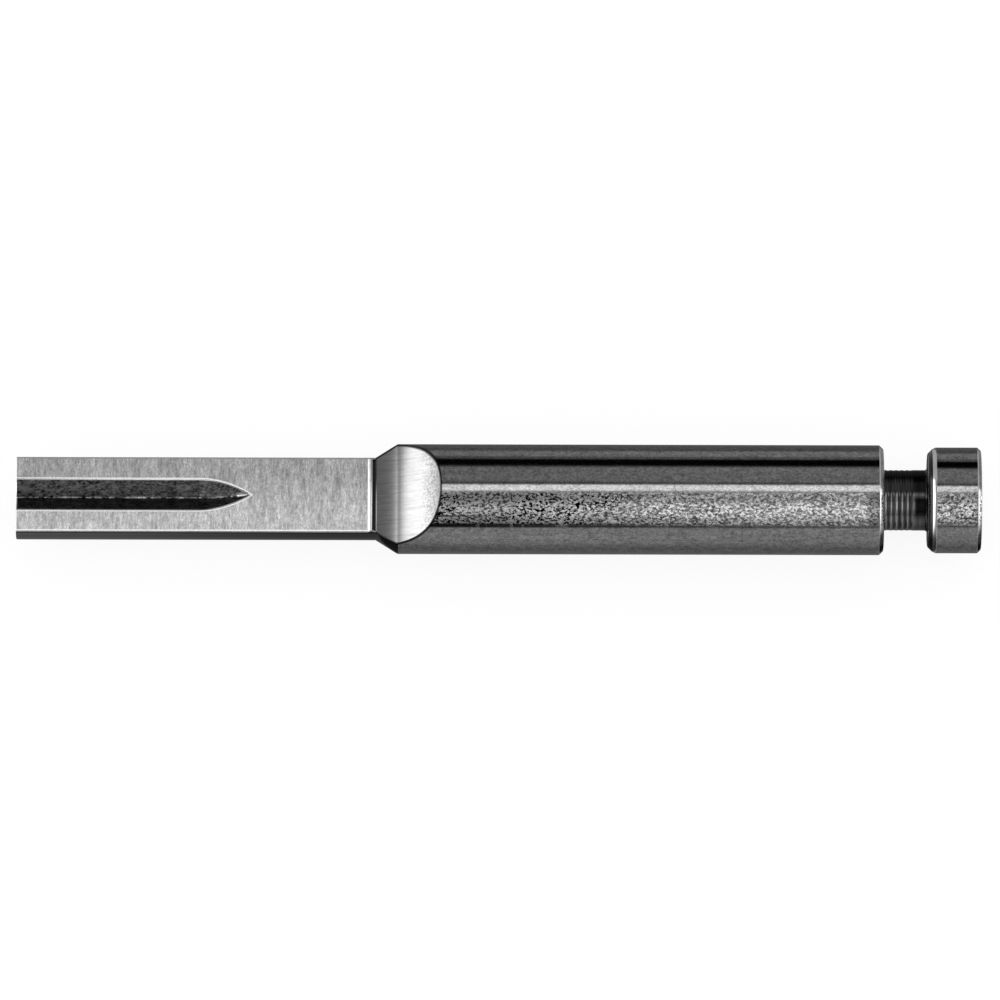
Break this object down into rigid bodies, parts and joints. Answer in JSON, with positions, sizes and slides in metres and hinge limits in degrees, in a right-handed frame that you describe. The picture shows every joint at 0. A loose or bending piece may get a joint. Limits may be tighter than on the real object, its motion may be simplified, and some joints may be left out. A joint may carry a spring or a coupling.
{
  "type": "screwdriver bit",
  "caption": "Flat blade bit for a watchmaker's screwdriver: milled blade with V-grooved flats, round shank, and a latch neck with an end button.",
  "frame": {"origin": "on the bit's axis, in the middle of the shank's length between the shoulder cone and the latch neck", "axes": "+X along the bit from the tip to the end button, +Z out of the blade's upper flat, +Y across the blade; the drive flat on the button faces -Z"},
  "size_m": [0.0351, 0.004, 0.004],
  "materials": {
    "tool_steel": "bare hardened steel: flats ground across the blade, run-outs ground along it, shank drawn and lightly scuffed, neck and button turned"
  },
  "bodies": {
    "root": {"screwdriver_bit": "tool_steel"}
  },
  "joints": []
}
